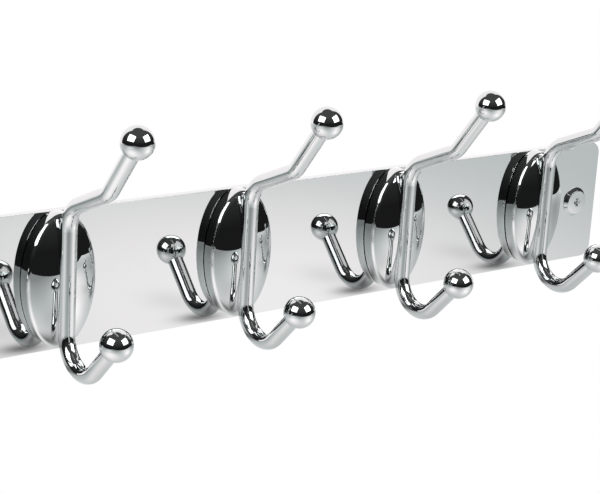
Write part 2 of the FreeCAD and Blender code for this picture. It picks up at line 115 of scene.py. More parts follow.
WALL_SCREW_HOLE = 2.9 * MM
WALL_SCREW_NECK = 2.7 * MM
WALL_SCREW_RADIUS = 2.5 * MM
WALL_SCREW_CORE = 1.75 * MM
WALL_SCREW_HEAD = 6.2 * MM
WALL_SCREW_BRIM = 0.15 * MM
WALL_SCREW_FACE = 5.0 * MM
WALL_SCREW_SHOULDER = 1.6 * MM
WALL_SCREW_CROWN = 1.75 * MM
WALL_SCREW_EASE = 0.06 * MM
WALL_SCREW_SOFT = 0.2 * MM
WALL_SCREW_PLAIN = 12 * MM
WALL_SCREW_POINT = 6 * MM
WALL_SCREW_REACH = 40 * MM
WALL_SCREW_STEPS = 96
WALL_SCREW_EASE_STEPS = 6
WALL_SCREW_SOFT_STEPS = 12
WALL_SCREW_FACE_STEPS = 20
WALL_SCREW_SHARP = math.radians(30)
WALL_SCREW_NODES = ("wall_screw_left", "wall_screw_right")
# The thread: its pitch, the rings in one pitch, the half width of a ridge as a share of the pitch, how far
# a ridge is cut off flat at its crest, and how bluntly the crests run out at the point.
THREAD_PITCH = 2 * MM
THREAD_RINGS = 14
THREAD_HALF_RIDGE = 0.32
THREAD_CREST = 1.15
THREAD_RUN_OUT = 0.8
RECESS_TOP = (1.9 * MM, 0.75 * MM)
RECESS_FLOOR = (0.9 * MM, 0.45 * MM)
RECESS_DEPTH = 1.6 * MM
RECESS_PAST = 0.2 * MM

# ---------------------------------------------------------------- mesh building


class Shell:
    """A closed surface gathered face by face, with the exact normal known at every corner of a face."""

    def __init__(self):
        self.numbers = {}
        self.points = []
        self.faces = []
        self.normals = []

    def number(self, point):
        """The point's number. Points closer than the weld distance share one."""
        key = tuple(round(value / WELD) for value in point)
        if key not in self.numbers:
            self.numbers[key] = len(self.points)
            self.points.append(Vector(point))
        return self.numbers[key]

    def face(self, corners):
        """Add one face, given (point, normal) for each corner. It is turned to agree with its normals."""
        numbers = [self.number(point) for point, normal in corners]
        kept = [index for index in range(len(corners)) if numbers[index] != numbers[index - 1]]
        if len(kept) < 3:
            return
        places = [self.points[numbers[index]] for index in kept]
        spokes = [place - places[0] for place in places[1:]]
        facing = sum((near.cross(far) for near, far in zip(spokes, spokes[1:])), Vector())
        outward = sum((corners[index][1] for index in kept), Vector())
        if facing.dot(outward) < 0:
            kept.reverse()
        self.faces.append([numbers[index] for index in kept])
        self.normals.extend(corners[index][1] for index in kept)

    def rings(self, rings):
        """Join closed rings of (point, normal) one to the next."""
        for near, far in zip(rings, rings[1:]):
            for index in range(len(near)):
                self.face([near[index - 1], near[index], far[index], far[index - 1]])

    def cap(self, loops, normal):
        """Fill a flat outline. Loops after the first are holes in it."""
        points = [point for loop in loops for point in loop]
        for triangle in tessellate_polygon(loops):
            self.face([(points[index], normal) for index in triangle])

    def mesh(self, name, exact=True):
        """The mesh, with the exact normals if nothing will be cut from it later."""
        mesh = bpy.data.meshes.new(name)
        mesh.from_pydata(self.points, [], self.faces)
        mesh.polygons.foreach_set("use_smooth", [True] * len(self.faces))
        if exact:
            mesh.normals_split_custom_set([tuple(normal.normalized()) for normal in self.normals])
        mesh.update()
        return mesh


def line(start, end):
    """A straight stretch of a turned profile, as (radius, height, normal across, normal along) rows."""
    run = Vector(end) - Vector(start)
    across, along = run.y / run.length, -run.x / run.length
    return [(*start, across, along), (*end, across, along)]


def arc(centre, radius, first, last, steps):
    """A round stretch of a turned profile. It bulges outwards where the angle grows."""
    side = 1 if last > first else -1
    rows = []
    for step in range(steps + 1):
        angle = first + (last - first) * step / steps
        across, along = math.cos(angle), math.sin(angle)
        rows.append((centre[0] + radius * across, centre[1] + radius * along, side * across, side * along))
    return rows


def turn(shell, profile, spot, steps):
    """Turn a profile, a list of stretches, about its axis. spot puts one row of it at an angle."""
    for stretch in profile:
        rings = []
        for row in stretch:
            rings.append([spot(*row, math.tau * step / steps) for step in range(steps)])
        shell.rings(rings)


def about(origin, axis):
    """A spot function for turn: radius and height about that axis through that origin."""
    axis = Vector(axis).normalized()
    first = axis.orthogonal().normalized()
    second = axis.cross(first)

    def spot(radius, height, across, along, angle):
        away = first * math.cos(angle) + second * math.sin(angle)
        return origin + axis * height + away * radius, axis * along + away * across

    return spot


def cut(name, mesh, tools, sharp):
    """The mesh with the tool meshes taken out of it, smooth except at edges sharper than that angle."""
    scene = bpy.context.scene.collection
    body = bpy.data.objects.new(name, mesh)
    scene.objects.link(body)
    cutters = []
    for index, tool in enumerate(tools):
        cutter = bpy.data.objects.new(f"{name}_cutter_{index}", tool)
        scene.objects.link(cutter)
        cutters.append(cutter)
        step = body.modifiers.new("cut", "BOOLEAN")
        step.operation = "DIFFERENCE"
        step.solver = "EXACT"
        step.object = cutter
    bpy.context.view_layer.update()
    done = bpy.data.meshes.new_from_object(body.evaluated_get(bpy.context.evaluated_depsgraph_get()))
    for thing in (body, *cutters):
        bpy.data.objects.remove(thing)
    for tool in tools:
        bpy.data.meshes.remove(tool)
    done.polygons.foreach_set("use_smooth", [True] * len(done.polygons))
    done.set_sharp_from_angle(angle=sharp)
    done.update()
    return done


def piece(name, mesh, material, slot, node, shift=0.0):
    """Put a mesh in the scene, moved along X, as the visible form of a CAD node."""
    mesh.name = name
    mesh.transform(Matrix.Translation((shift, 0, 0)))
    mesh.materials.clear()
    mesh.materials.append(material)
    thing = bpy.data.objects.new(name, mesh)
    bpy.context.scene.collection.objects.link(thing)
    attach(thing, ROOT)
    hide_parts(node)
    return thing


# ---------------------------------------------------------------- backplate


def plate_outline(inset):
    """The plate's rounded outline, drawn in by inset, as (x, z, normal x, normal z)."""
    half = (PLATE_HIGH - PLATE_LOW) / 2
    radius = PLATE_CORNER - inset
    rows = []
    for quarter, (side_x, side_z) in enumerate(((1, 1), (-1, 1), (-1, -1), (1, -1))):
        centre_x = side_x * (half.x - PLATE_CORNER)
        centre_z = side_z * (half.z - PLATE_CORNER)
        for step in range(PLATE_CORNER_STEPS + 1):
            angle = math.pi / 2 * (quarter + step / PLATE_CORNER_STEPS)
            across, up = math.cos(angle), math.sin(angle)
            rows.append((centre_x + radius * across, centre_z + radius * up, across, up))
    return rows


def plate_ring(inset, y, outward, along):
    """One ring of the plate's edge, with a normal that leans outward and along +Y by those parts."""
    return [
        (Vector((x, y, z)), Vector((outward * across, along, outward * up)))
        for x, z, across, up in plate_outline(inset)
    ]


def hole_ring(centre, radius, y, inward, along):
    """One ring of a hole round (x, z), with a normal that leans inward and along +Y by those parts."""
    ring = []
    for step in range(HOLE_STEPS):
        angle = math.tau * step / HOLE_STEPS
        away = Vector((math.cos(angle), 0, math.sin(angle)))
        point = Vector((centre[0], y, centre[1])) + away * radius
        ring.append((point, Vector((0, along, 0)) - away * inward))
    return ring


def points_of(ring):
    """The points of a ring without their normals."""
    return [point for point, normal in ring]


def make_plate():
    """Rounded plate with an eased front edge, holes for the screws and sinks behind for the boss screws."""
    shell = Shell()
    front, back = PLATE_LOW.y, PLATE_HIGH.y
    rings = []
    for step in range(PLATE_EDGE_STEPS + 1):
        lean = math.pi / 2 * step / PLATE_EDGE_STEPS
        outward, forward = math.sin(lean), math.cos(lean)
        y = front + PLATE_EDGE * (1 - forward)
        rings.append(plate_ring(PLATE_EDGE * (1 - outward), y, outward, -forward))
    for step in range(PLATE_BACK_EDGE_STEPS + 1):
        lean = math.pi / 2 * step / PLATE_BACK_EDGE_STEPS
        outward, backward = math.cos(lean), math.sin(lean)
        y = back - PLATE_BACK_EDGE * (1 - backward)
        rings.append(plate_ring(PLATE_BACK_EDGE * (1 - outward), y, outward, backward))
    shell.rings(rings)

    # The sinks are cut at 45 degrees, so each is as deep as it is wider than its bore.
    sunk = back - (BOSS_SCREW_SINK - BOSS_SCREW_BORE)
    front_holes, back_holes = [], []
    for number in HOOKS:
        for side in (1, -1):
            centre = (hook_x(number), BOSS_LIFT + side * BOSS_SCREW_RISE)
            mouth = hole_ring(centre, BOSS_SCREW_SINK, back, 1, 1)
            throat = hole_ring(centre, BOSS_SCREW_BORE, sunk, 1, 1)
            shell.rings([mouth, throat])
            through = [hole_ring(centre, BOSS_SCREW_BORE, y, 1, 0) for y in (sunk, front)]
            shell.rings(through)
            back_holes.append(points_of(mouth))
            front_holes.append(points_of(through[1]))
    for node in WALL_SCREW_NODES:
        centre = (node_centre(node).x, 0.0)
        through = [hole_ring(centre, WALL_SCREW_HOLE, y, 1, 0) for y in (back, front)]
        shell.rings(through)
        back_holes.append(points_of(through[0]))
        front_holes.append(points_of(through[1]))
    shell.cap([points_of(rings[0])] + front_holes, Vector((0, -1, 0)))
    shell.cap([points_of(rings[-1])] + back_holes, Vector((0, 1, 0)))
    return shell.mesh("backplate_form")


# ---------------------------------------------------------------- hooks


def node_centre(node):
    """The middle of a CAD node's box."""
    low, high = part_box(node)
    return (Vector(low) + Vector(high)) / 2


def hook_x(number):
    """How far along X a hook stands."""
    return node_centre(f"hook_rod_{number}").x


def boss_profile():
    """Half section of the turned blank that is stretched to the oval, from its foot to its middle.

    Its foot is stepped in, which leaves a thin shadow line against the plate.
    """
    dome = (BOSS_HALF_WIDTH ** 2 + BOSS_DOME ** 2) / (2 * BOSS_DOME)
    dome_centre = BOSS_RIM + BOSS_DOME - dome
    edge_radius = BOSS_HALF_WIDTH - BOSS_EDGE
    edge_height = dome_centre + math.sqrt((dome - BOSS_EDGE) ** 2 - edge_radius ** 2)
    meet = math.atan2(edge_height - dome_centre, edge_radius)
    foot_radius = BOSS_HALF_WIDTH - BOSS_GAP_DEPTH
    ease_radius = BOSS_HALF_WIDTH - BOSS_GAP_EASE
    ease_height = BOSS_GAP + BOSS_GAP_EASE
    second, third = meet + BOSS_DOME_FIRST, meet + 2 * BOSS_DOME_FIRST
    return [
        line((0, 0), (foot_radius, 0)),
        line((foot_radius, 0), (foot_radius, BOSS_GAP)),
        line((foot_radius, BOSS_GAP), (ease_radius, BOSS_GAP)),
        arc((ease_radius, ease_height), BOSS_GAP_EASE, -math.pi / 2, 0, BOSS_GAP_STEPS),
        line((BOSS_HALF_WIDTH, ease_height), (BOSS_HALF_WIDTH, edge_height)),
        arc((edge_radius, edge_height), BOSS_EDGE, 0, meet, BOSS_EDGE_STEPS),
        arc((0, dome_centre), dome, meet, second, 1)
        + arc((0, dome_centre), dome, third, math.pi / 2, BOSS_DOME_STEPS),
    ]


def make_boss():
    """Oval boss with a groove down its face for the rod and two blind holes behind."""
    stretch = BOSS_HALF_HEIGHT / BOSS_HALF_WIDTH

    def spot(radius, height, across, along, angle):
        side, up = math.cos(angle), math.sin(angle)
        point = Vector((radius * side, PLATE_FRONT - height, BOSS_LIFT + stretch * radius * up))
        return point, Vector((across * side, -along, across * up / stretch))

    blank = Shell()
    turn(blank, boss_profile(), spot, BOSS_STEPS)
    foot = Vector((0, PLATE_FRONT - STEM_OUT, BOSS_LIFT - BOSS_GROOVE_LENGTH / 2))
    tools = [bar("groove", foot, (0, 0, 1), ROD_RADIUS + ROD_GAP, BOSS_GROOVE_LENGTH, ROD_STEPS)]
    for side in (1, -1):
        start = Vector((0, PLATE_FRONT + CUT_PAST, BOSS_LIFT + side * BOSS_SCREW_RISE))
        tools.append(bar("hole", start, (0, -1, 0), BOSS_TAP_RADIUS, BOSS_TAP_DEPTH + CUT_PAST, HOLE_STEPS))
    return cut("boss_blank", blank.mesh("boss_blank", exact=False), tools, BOSS_SHARP)


def bar(name, start, axis, radius, length, steps):
    """A plain round bar from a point along an axis, for cutting with."""
    shell = Shell()
    profile = [
        line((0, 0), (radius, 0)),
        line((radius, 0), (radius, length)),
        line((radius, length), (0, length)),
    ]
    turn(shell, profile, about(start, axis), steps)
    return shell.mesh(name, exact=False)


def heading(angle):
    """The direction at that angle above straight out, in the (out, up) plane."""
    return Vector((math.cos(angle), math.sin(angle)))


def right_of(angle):
    """The direction to the right of one that travels at that angle."""
    return Vector((math.sin(angle), -math.cos(angle)))


def bend(pivot, radius, first, last):
    """(point, direction) pairs round a bend, from one angle of travel to another."""
    side = 1 if last > first else -1
    steps = max(2, round(abs(last - first) / BEND_STEP))
    angles = [first + (last - first) * step / steps for step in range(steps + 1)]
    return [(pivot + side * radius * right_of(angle), heading(angle)) for angle in angles]


def rod_route():
    """Where the rod goes, as (point, direction) pairs in its own (out, up) plane, lower end first."""
    lower_ball, upper_ball = ball_centres()
    upright = math.pi / 2
    travel = JAY_RISE + math.pi
    route = [(lower_ball + BALL_BORE * heading(travel), heading(travel))]
    route += bend(JAY_CENTRE, JAY_RADIUS, travel, upright)
    setback = NECK_RADIUS * math.tan((upright - RUN_RISE) / 2)
    route += bend(NECK + Vector((NECK_RADIUS, -setback)), NECK_RADIUS, upright, RUN_RISE)
    setback = ELBOW_RADIUS * math.tan((ARM_RISE - RUN_RISE) / 2)
    elbow = NECK + RUN_LENGTH * heading(RUN_RISE)
    pivot = elbow - setback * heading(RUN_RISE) - ELBOW_RADIUS * right_of(RUN_RISE)
    route += bend(pivot, ELBOW_RADIUS, RUN_RISE, ARM_RISE)
    route.append((upper_ball - BALL_BORE * heading(ARM_RISE), heading(ARM_RISE)))
    return route


def ball_centres():
    """Lower and upper ball, in the (out, up) plane."""
    lower = JAY_CENTRE + JAY_RADIUS * right_of(JAY_RISE) + JAY_RUN * heading(JAY_RISE)
    upper = NECK + RUN_LENGTH * heading(RUN_RISE) + ARM_LENGTH * heading(ARM_RISE)
    return lower, upper


def in_frame(flat):
    """An (out, up) pair as a point or direction across X = 0, without the plate's depth."""
    return Vector((0, -flat.x, flat.y))


def make_rod():
    """The bent rod at X = 0, flat at both ends, which are inside the balls."""
    shell = Shell()
    rings = []
    across = Vector((1, 0, 0))
    plate = Vector((0, PLATE_FRONT, 0))
    route = rod_route()
    for point, direction in route:
        side = across.cross(in_frame(direction))
        ring = []
        for step in range(ROD_STEPS):
            angle = math.tau * step / ROD_STEPS
            away = across * math.cos(angle) + side * math.sin(angle)
            ring.append((plate + in_frame(point) + away * ROD_RADIUS, away))
        rings.append(ring)
    shell.rings(rings)
    shell.cap([points_of(rings[0])], -in_frame(route[0][1]))
    shell.cap([points_of(rings[-1])], in_frame(route[-1][1]))
    return shell.mesh("rod_form")


def make_ball(centre, rise):
    """Ball with an eased mouth round the rod and a blind bore."""
    shell = Shell()
    bore = ROD_RADIUS + ROD_GAP
    lip_radius = bore + BALL_LIP
    lip_height = math.sqrt((BALL_RADIUS - BALL_LIP) ** 2 - lip_radius ** 2)
    meet = math.atan2(lip_height, lip_radius)
    profile = [
        arc((0, 0), BALL_RADIUS, -math.pi / 2, meet, BALL_RISE_STEPS),
        arc((lip_radius, lip_height), BALL_LIP, meet, math.pi, BALL_LIP_STEPS),
        line((bore, lip_height), (bore, BALL_BORE)),
        line((bore, BALL_BORE), (0, BALL_BORE)),
    ]
    down_rod = -in_frame(heading(rise))
    origin = Vector((0, PLATE_FRONT, 0)) + in_frame(centre)
    turn(shell, profile, about(origin, down_rod), BALL_STEPS)
    return shell.mesh("ball_form")


# ---------------------------------------------------------------- wall screws


def thread_radius(depth, angle):
    """Radius of the threaded shank at a depth behind the plate's back and an angle round it."""
    left = WALL_SCREW_REACH - depth
    if left <= 0:
        return 0.0
    phase = (depth / THREAD_PITCH - angle / math.tau) % 1.0
    ridge = max(0.0, 1 - abs(phase - 0.5) / THREAD_HALF_RIDGE)
    ridge = min(1.0, ridge * THREAD_CREST)
    start = min(1.0, max(0.0, (depth - WALL_SCREW_PLAIN) / THREAD_PITCH))
    taper = min(1.0, left / WALL_SCREW_POINT)
    plain = WALL_SCREW_RADIUS * (1 - start) + WALL_SCREW_CORE * taper * start
    crest = WALL_SCREW_RADIUS * taper ** THREAD_RUN_OUT
    return plain + (crest - plain) * ridge * start


def cross_outline(half_span, half_slot, out):
    """Twelve corners of a cross, at that distance out."""
    corners = []
    for quarter in range(4):
        turned = Matrix.Rotation(-math.pi / 2 * quarter, 3, "Y")
        for x, z in ((half_slot, half_slot), (half_slot, half_span), (-half_slot, half_span)):
            corners.append(turned @ Vector((x, 0, z)) + Vector((0, PLATE_FRONT - out, 0)))
    return corners


def screw_profile(thick):
    """Half section of the wall screw from the start of its thread to the middle of its face.

    Heights are out from the plate's front. The face is a shallow dome through the crown and the top of
    the slope, and it is softened where they meet.
    """
    brim_radius = WALL_SCREW_HEAD - WALL_SCREW_EASE
    rise = WALL_SCREW_CROWN - WALL_SCREW_SHOULDER
    dome = (WALL_SCREW_FACE ** 2 + rise ** 2) / (2 * rise)
    dome_centre = Vector((0, WALL_SCREW_CROWN - dome))
    slope_foot = Vector((WALL_SCREW_HEAD, WALL_SCREW_BRIM))
    up_slope = (Vector((WALL_SCREW_FACE, WALL_SCREW_SHOULDER)) - slope_foot).normalized()
    off_slope = Vector((up_slope.y, -up_slope.x))

    # The soft edge touches the slope from inside and the dome from below.
    inner_foot = slope_foot - off_slope * WALL_SCREW_SOFT - dome_centre
    middle = inner_foot.dot(up_slope)
    reach = math.sqrt(middle ** 2 - inner_foot.length_squared + (dome - WALL_SCREW_SOFT) ** 2) - middle
    soft_centre = dome_centre + inner_foot + up_slope * reach
    slope_top = soft_centre + off_slope * WALL_SCREW_SOFT
    slope_angle = math.atan2(off_slope.y, off_slope.x)
    meet = math.atan2(soft_centre.y - dome_centre.y, soft_centre.x)
    return [
        line((WALL_SCREW_RADIUS, -thick - WALL_SCREW_PLAIN), (WALL_SCREW_RADIUS, -thick)),
        line((WALL_SCREW_RADIUS, -thick), (WALL_SCREW_NECK, -thick)),
        line((WALL_SCREW_NECK, -thick), (WALL_SCREW_NECK, 0)),
        line((WALL_SCREW_NECK, 0), (brim_radius, 0)),
        arc((brim_radius, WALL_SCREW_EASE), WALL_SCREW_EASE, -math.pi / 2, 0, WALL_SCREW_EASE_STEPS),
        line((WALL_SCREW_HEAD, WALL_SCREW_EASE), slope_foot),
        line(slope_foot, slope_top),
        arc(soft_centre, WALL_SCREW_SOFT, slope_angle, meet, WALL_SCREW_SOFT_STEPS),
        arc(dome_centre, dome, meet, math.pi / 2, WALL_SCREW_FACE_STEPS),
    ]


def make_wall_screw():
    """Wood screw at X = 0: a low sloped head with a cross recess, and a helical thread to its point."""
    shell = Shell()
    spot = about(Vector((0, PLATE_FRONT, 0)), (0, -1, 0))
    thick = PLATE_HIGH.y - PLATE_LOW.y
    turn(shell, screw_profile(thick), spot, WALL_SCREW_STEPS)

    rings = []
    angles = [math.tau * step / WALL_SCREW_STEPS for step in range(WALL_SCREW_STEPS)]
    depth = WALL_SCREW_PLAIN
    while depth < WALL_SCREW_REACH:
        rings.append([spot(thread_radius(depth, angle), -thick - depth, 1, 0, angle) for angle in angles])
        depth += THREAD_PITCH / THREAD_RINGS
    tip = spot(0, -thick - WALL_SCREW_REACH, 0, -1, 0)
    rings.append([tip] * WALL_SCREW_STEPS)
    shell.rings(rings)

    recess = Shell()
    top = cross_outline(*RECESS_TOP, WALL_SCREW_CROWN + RECESS_PAST)
    floor = cross_outline(*RECESS_FLOOR, WALL_SCREW_CROWN - RECESS_DEPTH)
    for index in range(len(top)):
        corners = (top[index - 1], top[index], floor[index], floor[index - 1])
        facing = (corners[3] - corners[0]).cross(corners[1] - corners[0])
        recess.face([(corner, facing) for corner in corners])
    recess.cap([top], Vector((0, -1, 0)))
    recess.cap([floor], Vector((0, 1, 0)))
    tools = [recess.mesh("recess", exact=False)]
    return cut("wall_screw", shell.mesh("wall_screw", exact=False), tools, WALL_SCREW_SHARP)


# ---------------------------------------------------------------- materials

CHROME = (0.66, 0.68, 0.68)
# Smudges: how they are spread, the noise levels where haze starts and is full, and how dark they are.
SMUDGE_SCALE, SMUDGE_DETAIL, SMUDGE_ROUGH = 55.0, 6.0, 0.62
SMUDGE_FROM, SMUDGE_FULL = 0.42, 0.72
SMUDGE_SHADE = 0.965
# Polishing marks, in the gloss and as fine scratches.
MARK_SCALE, MARK_DETAIL, MARK_ROUGH = 2600.0, 3.0, 0.55
MARK_GLOSS = (-0.006, 0.010)
MARK_STRENGTH = 0.35
MARK_HEIGHT = 0.0006 * MM
# The slow wave under the plating.
WAVE_SCALE, WAVE_DETAIL, WAVE_ROUGH = 42.0, 2.0, 0.45

ZINC_BRIGHT, ZINC_DULL = (0.62, 0.61, 0.57), (0.50, 0.50, 0.48)
ZINC_ROUGH = (0.22, 0.42)
MOTTLE_SCALE, MOTTLE_DETAIL = 900.0, 5.0
GRAIN_SCALE, GRAIN_DETAIL = 5200.0, 2.0
GRAIN_STRENGTH = 0.4
GRAIN_HEIGHT = 0.004 * MM


class Nodes:
    """A short way to write node trees."""

    def __init__(self, tree):
        self.tree = tree

    def add(self, kind, links=None, **values):
        """A new node. links gives its sockets a source or a value, and values are its own settings."""
        node = self.tree.nodes.new(kind)
        for name, value in values.items():
            setattr(node, name, value)
        for socket, value in (links or {}).items():
            if isinstance(value, bpy.types.NodeSocket):
                self.tree.links.new(value, node.inputs[socket])
            else:
                node.inputs[socket].default_value = value
        return node

    def math(self, operation, *values):
        """Arithmetic on sockets and numbers."""
        return self.add("ShaderNodeMath", dict(enumerate(values)), operation=operation).outputs[0]

    def between(self, value, low, high):
        """A 0 to 1 value brought to the range from low to high."""
        sockets = {"Value": value, "To Min": low, "To Max": high}
        return self.add("ShaderNodeMapRange", sockets).outputs["Result"]

    def noise(self, place, scale, detail, rough=0.5):
        """The level, about 0 to 1, of a noise over a place."""
        sockets = {"Vector": place, "Scale": scale, "Detail": detail, "Roughness": rough}
        return self.add("ShaderNodeTexNoise", sockets).outputs["Fac"]

    def blend(self, share, first, second):
        """A colour between two plain ones."""
        mix = self.add("ShaderNodeMix", {0: share}, data_type="RGBA")
        mix.inputs[6].default_value = (*first, 1)
        mix.inputs[7].default_value = (*second, 1)
        return mix.outputs[2]

    def bump(self, height, distance, strength, normal=None):
        """The surface's normal with that height put on it."""
        sockets = {"Strength": strength, "Distance": distance, "Height": height}
        if normal:
            sockets["Normal"] = normal
        return self.add("ShaderNodeBump", sockets).outputs["Normal"]


def new_material(name, shader_used=True):
    """A material with its tree and Nodes. Without its standard shader if that isn't used."""
    material = bpy.data.materials.new(name)
    material.use_nodes = True
    tree = material.node_tree
    if not shader_used:
        tree.nodes.remove(tree.nodes["Principled BSDF"])
    return material, tree, Nodes(tree)


def chrome(name, rough, wave, seed, grain=(1.0, 1.0, 1.0)):
    """Polished chrome: faint smudges in its gloss, a slow wave under the plating and fine polishing marks.

    rough is (lowest, highest) roughness, wave the height of the slow wave, and grain squeezes the
    polishing marks so that they run along the axis with the smallest number.
    """
    material, tree, nodes = new_material(name)
    shader = tree.nodes["Principled BSDF"]
    shader.inputs["Metallic"].default_value = 1.0
    place = nodes.add("ShaderNodeTexCoord").outputs["Object"]
    offset = (seed, 2 * seed, 3 * seed)
    moved = nodes.add("ShaderNodeMapping", {"Vector": place, "Location": offset}).outputs[0]
    squeezed = nodes.add("ShaderNodeMapping", {"Vector": moved, "Scale": grain}).outputs[0]
    smudges = nodes.noise(moved, SMUDGE_SCALE, SMUDGE_DETAIL, SMUDGE_ROUGH)
    marks = nodes.noise(squeezed, MARK_SCALE, MARK_DETAIL, MARK_ROUGH)
    waves = nodes.noise(moved, WAVE_SCALE, WAVE_DETAIL, WAVE_ROUGH)

    haze = nodes.add("ShaderNodeMapRange", {
        "Value": smudges, "From Min": SMUDGE_FROM, "From Max": SMUDGE_FULL,
        "To Min": rough[0], "To Max": rough[1]}, interpolation_type="SMOOTHSTEP")
    fine = nodes.between(marks, *MARK_GLOSS)
    gloss = nodes.add("ShaderNodeMath", {0: haze.outputs[0], 1: fine}, operation="ADD", use_clamp=True)
    tree.links.new(gloss.outputs[0], shader.inputs["Roughness"])

    wavy = nodes.bump(waves, wave, 1.0)
    tree.links.new(nodes.bump(marks, MARK_HEIGHT, MARK_STRENGTH, wavy), shader.inputs["Normal"])

    smudged = [SMUDGE_SHADE * value for value in CHROME]
    tree.links.new(nodes.blend(smudges, CHROME, smudged), shader.inputs["Base Color"])
    return material


def zinc(name):
    """Zinc-plated steel: duller than the chrome, slightly yellow, mottled and brushed by turning."""
    material, tree, nodes = new_material(name)
    shader = tree.nodes["Principled BSDF"]
    shader.inputs["Metallic"].default_value = 1.0
    place = nodes.add("ShaderNodeTexCoord").outputs["Object"]
    mottle = nodes.noise(place, MOTTLE_SCALE, MOTTLE_DETAIL)
    grain = nodes.noise(place, GRAIN_SCALE, GRAIN_DETAIL)
    tree.links.new(nodes.blend(mottle, ZINC_BRIGHT, ZINC_DULL), shader.inputs["Base Color"])
    tree.links.new(nodes.between(mottle, *ZINC_ROUGH), shader.inputs["Roughness"])
    tree.links.new(nodes.bump(grain, GRAIN_HEIGHT, GRAIN_STRENGTH), shader.inputs["Normal"])
    return material


plate_chrome = chrome("plate_chrome", (0.012, 0.035), wave=0.012 * MM, seed=0.3, grain=(0.03, 1.0, 1.0))
boss_chrome = chrome("boss_chrome", (0.014, 0.040), wave=0.008 * MM, seed=1.7, grain=(1.0, 1.0, 0.08))
rod_chrome = chrome("rod_chrome", (0.014, 0.040), wave=0.006 * MM, seed=2.9)
ball_chrome = chrome("ball_chrome", (0.014, 0.040), wave=0.005 * MM, seed=4.1)
screw_chrome = chrome("screw_chrome", (0.030, 0.080), wave=0.006 * MM, seed=5.3)
zinc_steel = zinc("zinc_steel")

# ---------------------------------------------------------------- the pieces

piece("backplate_form", make_plate(), plate_chrome, "plate_chrome", "backplate")
lower_centre, upper_centre = ball_centres()
forms = {
    "boss": (make_boss(), boss_chrome, "boss_chrome"),
    "hook_rod": (make_rod(), rod_chrome, "rod_chrome"),
    "upper_ball": (make_ball(upper_centre, ARM_RISE), ball_chrome, "ball_chrome"),
    "lower_ball": (make_ball(lower_centre, JAY_RISE), ball_chrome, "ball_chrome"),
}
for number in HOOKS:
    for kind, (mesh, material, slot) in forms.items():
        piece(f"{kind}_{number}_form", mesh.copy(), material, slot, f"{kind}_{number}", hook_x(number))
for mesh, material, slot in forms.values():
    bpy.data.meshes.remove(mesh)

wall_screw = make_wall_screw()
for node in WALL_SCREW_NODES:
    piece(f"{node}_form", wall_screw.copy(), screw_chrome, "screw_chrome", node, node_centre(node).x)
bpy.data.meshes.remove(wall_screw)
for number in HOOKS:
    for end in ("upper", "lower"):
        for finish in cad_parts[f"boss_screw_{number}_{end}"].material_slots:
            finish.material = zinc_steel

# ---------------------------------------------------------------- studio

WHITE = (1, 1, 1, 1)
# The level of each light surface is what it sends out, where 1 is the white of the background.
FLOOR_HEIGHT = -0.237
FLOOR_LEFT, FLOOR_RIGHT = -1.5, 1.5
FLOOR_FRONT, FLOOR_BACK = -1.08, 1.6
FLOOR_LEVEL = 0.76
FLOOR_LEVEL_PER_X = 0.36
FLOOR_LEVEL_PER_Y = 0.27
FLOOR_LEAST, FLOOR_MOST = 0.35, 1.45
# The floor's light is cooler where it is weak and warmer where it is strong.
FLOOR_COOL, FLOOR_WARM = (0.965, 1.0, 1.0), (1.04, 0.995, 1.0)
FLOOR_COOL_AT, FLOOR_WARM_AT = 0.75, 1.15
# Soft patches of more or less light on the floor: where, how wide, and how much.
POOLS = (
    ((-0.31, -0.07), 0.16, 0.70),
    ((-0.85, -0.20), 0.25, 0.60),
    ((0.17, -0.26), 0.10, 0.49),
    ((0.37, -0.54), 0.30, 0.64),
    ((1.09, -0.03), 0.50, -0.68),
)

BACKDROP_DISTANCE = 1.3
BACKDROP_TURN = math.radians(157)
BACKDROP_SPREAD = math.radians(60)
BACKDROP_STEPS = 24
BACKDROP_TOP = 2.4
BACKDROP_LEVEL = 1.2

# Each softbox: its name, the turn towards +X and the rise at which the rack sees it.
BOXES = (
    ("left_box", math.radians(-79), math.radians(33)),
    ("right_box", math.radians(34), math.radians(32)),
)
BOX_DISTANCE = 1.2
BOX_WIDTH = 0.94
BOX_HEIGHT = 0.75
BOX_POWER = 6.4

# The soft shadows under each hook, which show in the chrome: their middle from the hook's own X, how wide
# they are along X and Y, and how dark they get. Each card reaches that many widths from its middle.
FOOT_SHADOWS = {
    "foot": (Vector((-5 * MM, -15.5 * MM, -27.8 * MM)), (6.5 * MM, 3.5 * MM), 0.8),
    "hook": (Vector((-3 * MM, -36 * MM, -28.2 * MM)), (7.5 * MM, 10 * MM), 0.15),
}
FOOT_SHADOW_LEVEL = 0.04
FOOT_SHADOW_REACH = 3.2

# What reflections see of the dark room, level with the rack and from that far up.
DARK_LOW, DARK_HIGH = 0.014, 0.080
DARK_HIGH_FROM = 0.8


def studio_point(turned, distance, height):
    """A point that far from the rack, in the direction turned from the room towards +X."""
    return Vector((distance * math.sin(turned), -distance * math.cos(turned), height))


def glowing(name, level):
    """A pale glowing surface. level gives a socket or number for what reflections see of it."""
    material, tree, nodes = new_material(name, shader_used=False)
    seen = nodes.add("ShaderNodeLightPath").outputs["Is Camera Ray"]
    sent = level(nodes)
    shown = nodes.add("ShaderNodeMix", {0: seen, 2: sent, 3: 1.0}, data_type="FLOAT")
    warmth = nodes.add("ShaderNodeMapRange", {
        "Value": sent, "From Min": FLOOR_COOL_AT, "From Max": FLOOR_WARM_AT})
    tint = nodes.blend(warmth.outputs[0], FLOOR_COOL, FLOOR_WARM)
    colour = nodes.add("ShaderNodeMix", {0: seen, 6: tint, 7: WHITE}, data_type="RGBA")
    light = nodes.add("ShaderNodeEmission", {"Color": colour.outputs[2], "Strength": shown.outputs[0]})
    tree.links.new(light.outputs[0], tree.nodes["Material Output"].inputs["Surface"])
    return material


